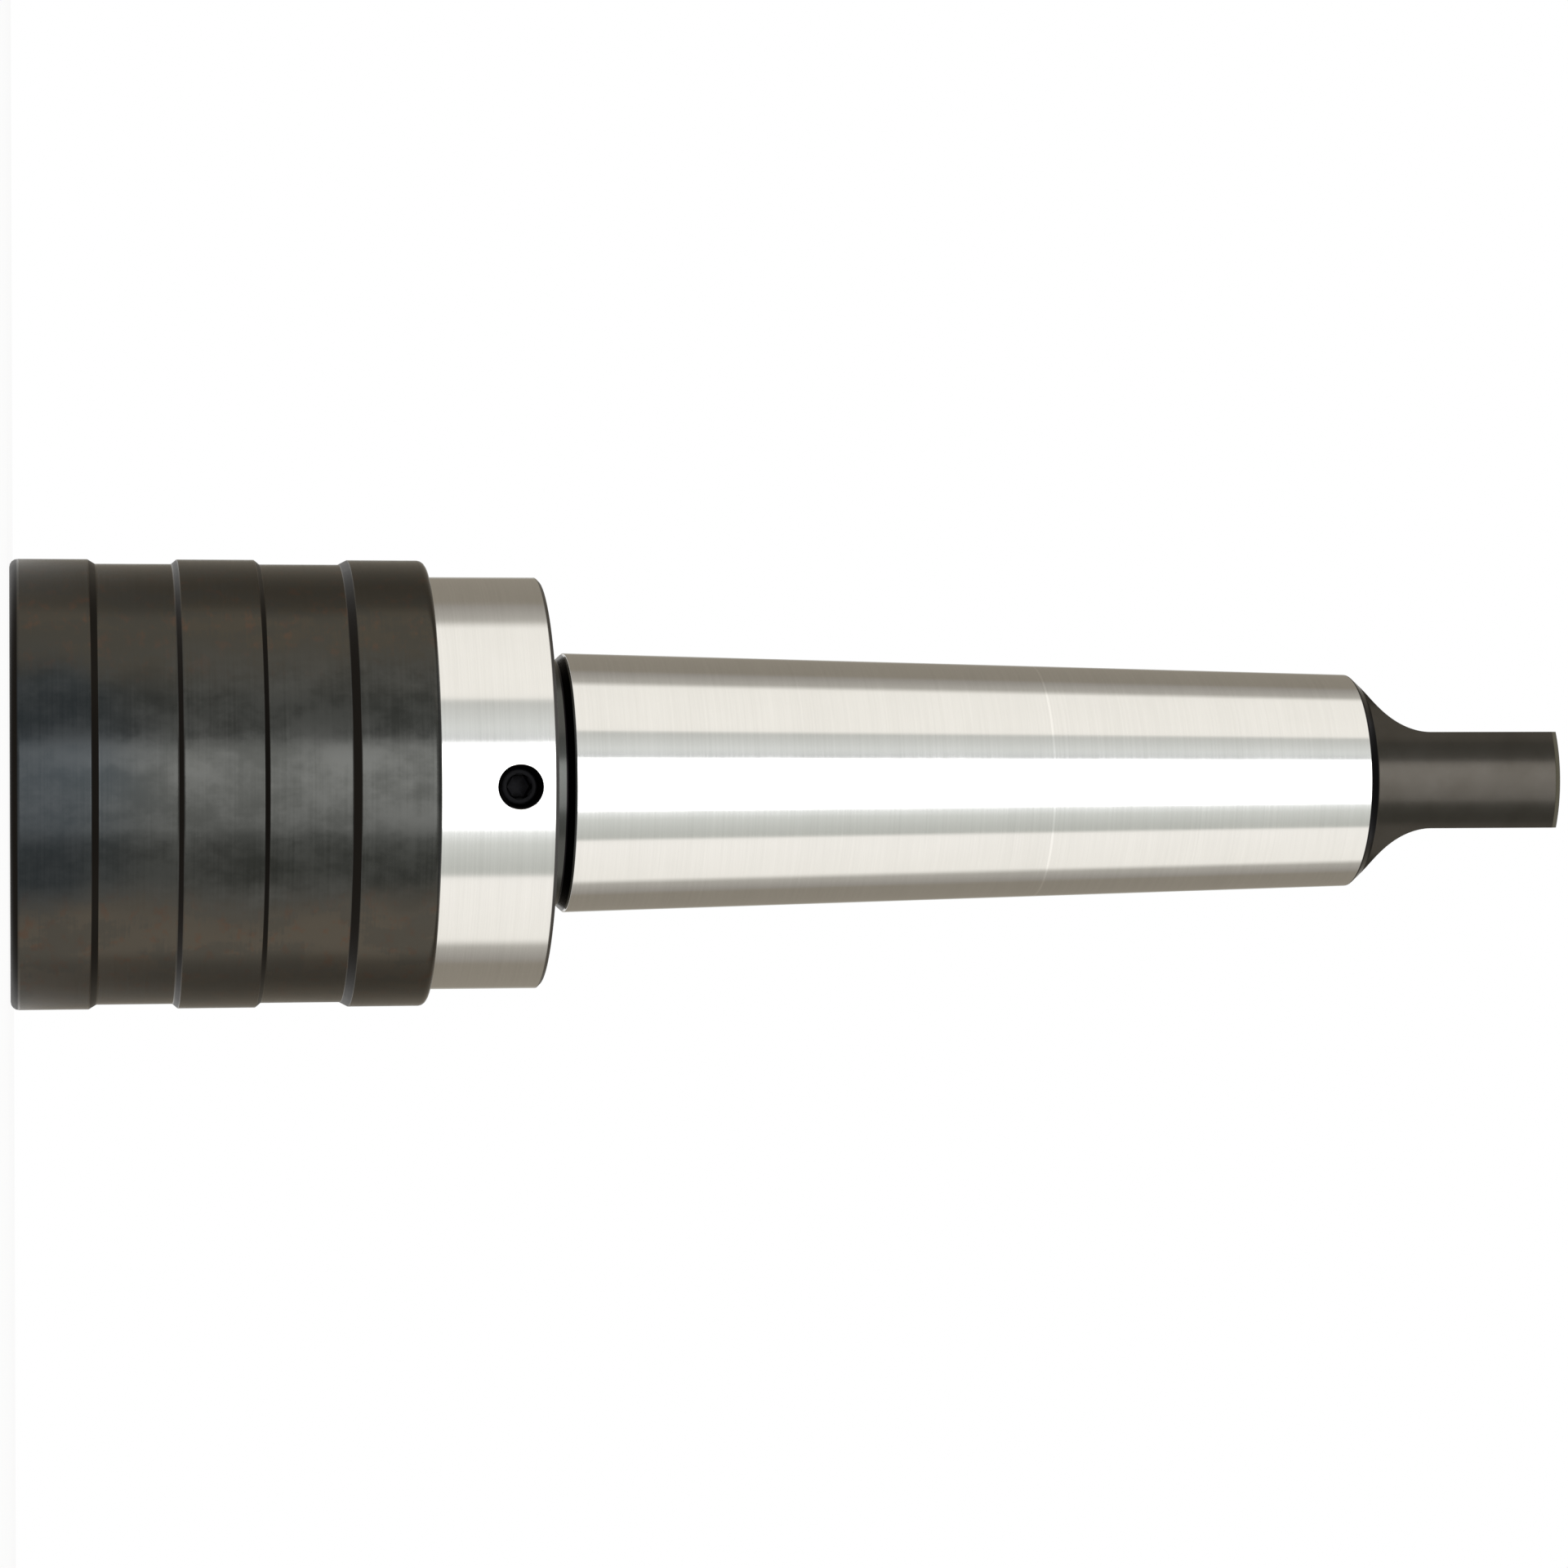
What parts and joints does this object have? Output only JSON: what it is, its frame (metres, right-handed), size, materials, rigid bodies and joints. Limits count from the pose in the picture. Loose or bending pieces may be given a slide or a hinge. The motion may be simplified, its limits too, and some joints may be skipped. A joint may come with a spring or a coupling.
{
  "type": "quick-change tapping chuck",
  "caption": "Tap holder for a drilling machine: taper shank with tang, spindle that floats along the axis, and a sleeve that slides back to free the tap adaptor.",
  "frame": {"origin": "on the axis, at the nose face", "axes": "+Z along the axis, from the nose to the tang; X across the flats of the tang; the lock screw is on the -Y side"},
  "size_m": [0.054, 0.054, 0.1895],
  "materials": {
    "ground_steel": "turned and ground, fine lines round the axis; neck and tang blackened",
    "black_oxide": "blackened, satin, with faint brown and blue cast",
    "hardened_steel": "hardened and ground",
    "spring_steel": "phosphated spring wire and strip",
    "ball_steel": "polished bearing balls",
    "black_screw": "black oxide set screw",
    "wiper_rubber": "matt nitrile rubber"
  },
  "bodies": {
    "shank": {"taper_shank": "ground_steel", "barrel": "ground_steel", "lock_screw": "black_screw", "spring_collar": "hardened_steel", "collar_clip": "spring_steel", "compression_spring": "spring_steel", "tension_spring": "spring_steel"},
    "spindle": {"floating_spindle": "hardened_steel", "pull_rod": "hardened_steel", "rod_washer": "hardened_steel", "rod_nut": "hardened_steel", "sleeve_clip": "spring_steel", "sleeve_spring": "spring_steel"},
    "torque_balls": {"torque_ball_row_1": "ball_steel", "torque_ball_row_2": "ball_steel", "torque_ball_row_3": "ball_steel"},
    "sleeve": {"release_sleeve": "black_oxide", "wiper_ring": "wiper_rubber"},
    "locking_ball_1": {"locking_ball_1": "ball_steel"},
    "locking_ball_2": {"locking_ball_2": "ball_steel"},
    "locking_ball_3": {"locking_ball_3": "ball_steel"}
  },
  "joints": [
    {"name": "float_slide", "type": "slide", "parent": "shank", "child": "spindle", "axis": [0, 0, 1], "range_m": [-0.006, 0.006], "stiffness_N_per_m": 15000, "deforming": ["compression_spring", "tension_spring"]},
    {"name": "torque_ball_slide", "type": "slide", "parent": "shank", "child": "torque_balls", "axis": [0, 0, 1], "range_m": [-0.003, 0.003]},
    {"name": "sleeve_slide", "type": "slide", "parent": "spindle", "child": "sleeve", "axis": [0, 0, 1], "range_m": [0, 0.0035], "stiffness_N_per_m": 4000, "springref_m": -0.006, "deforming": ["sleeve_spring"]},
    {"name": "locking_ball_1_slide", "type": "slide", "parent": "spindle", "child": "locking_ball_1", "axis": [0.866, 0.5, 0], "range_m": [0, 0.00175]},
    {"name": "locking_ball_2_slide", "type": "slide", "parent": "spindle", "child": "locking_ball_2", "axis": [-0.866, 0.5, 0], "range_m": [0, 0.00175]},
    {"name": "locking_ball_3_slide", "type": "slide", "parent": "spindle", "child": "locking_ball_3", "axis": [0, -1, 0], "range_m": [0, 0.00175]}
  ],
  "couplings": [
    {"joint": "torque_ball_slide", "follows": "float_slide", "ratio": 0.5},
    {"joint": "locking_ball_1_slide", "follows": "sleeve_slide", "ratio": 0.5},
    {"joint": "locking_ball_2_slide", "follows": "sleeve_slide", "ratio": 0.5},
    {"joint": "locking_ball_3_slide", "follows": "sleeve_slide", "ratio": 0.5}
  ]
}
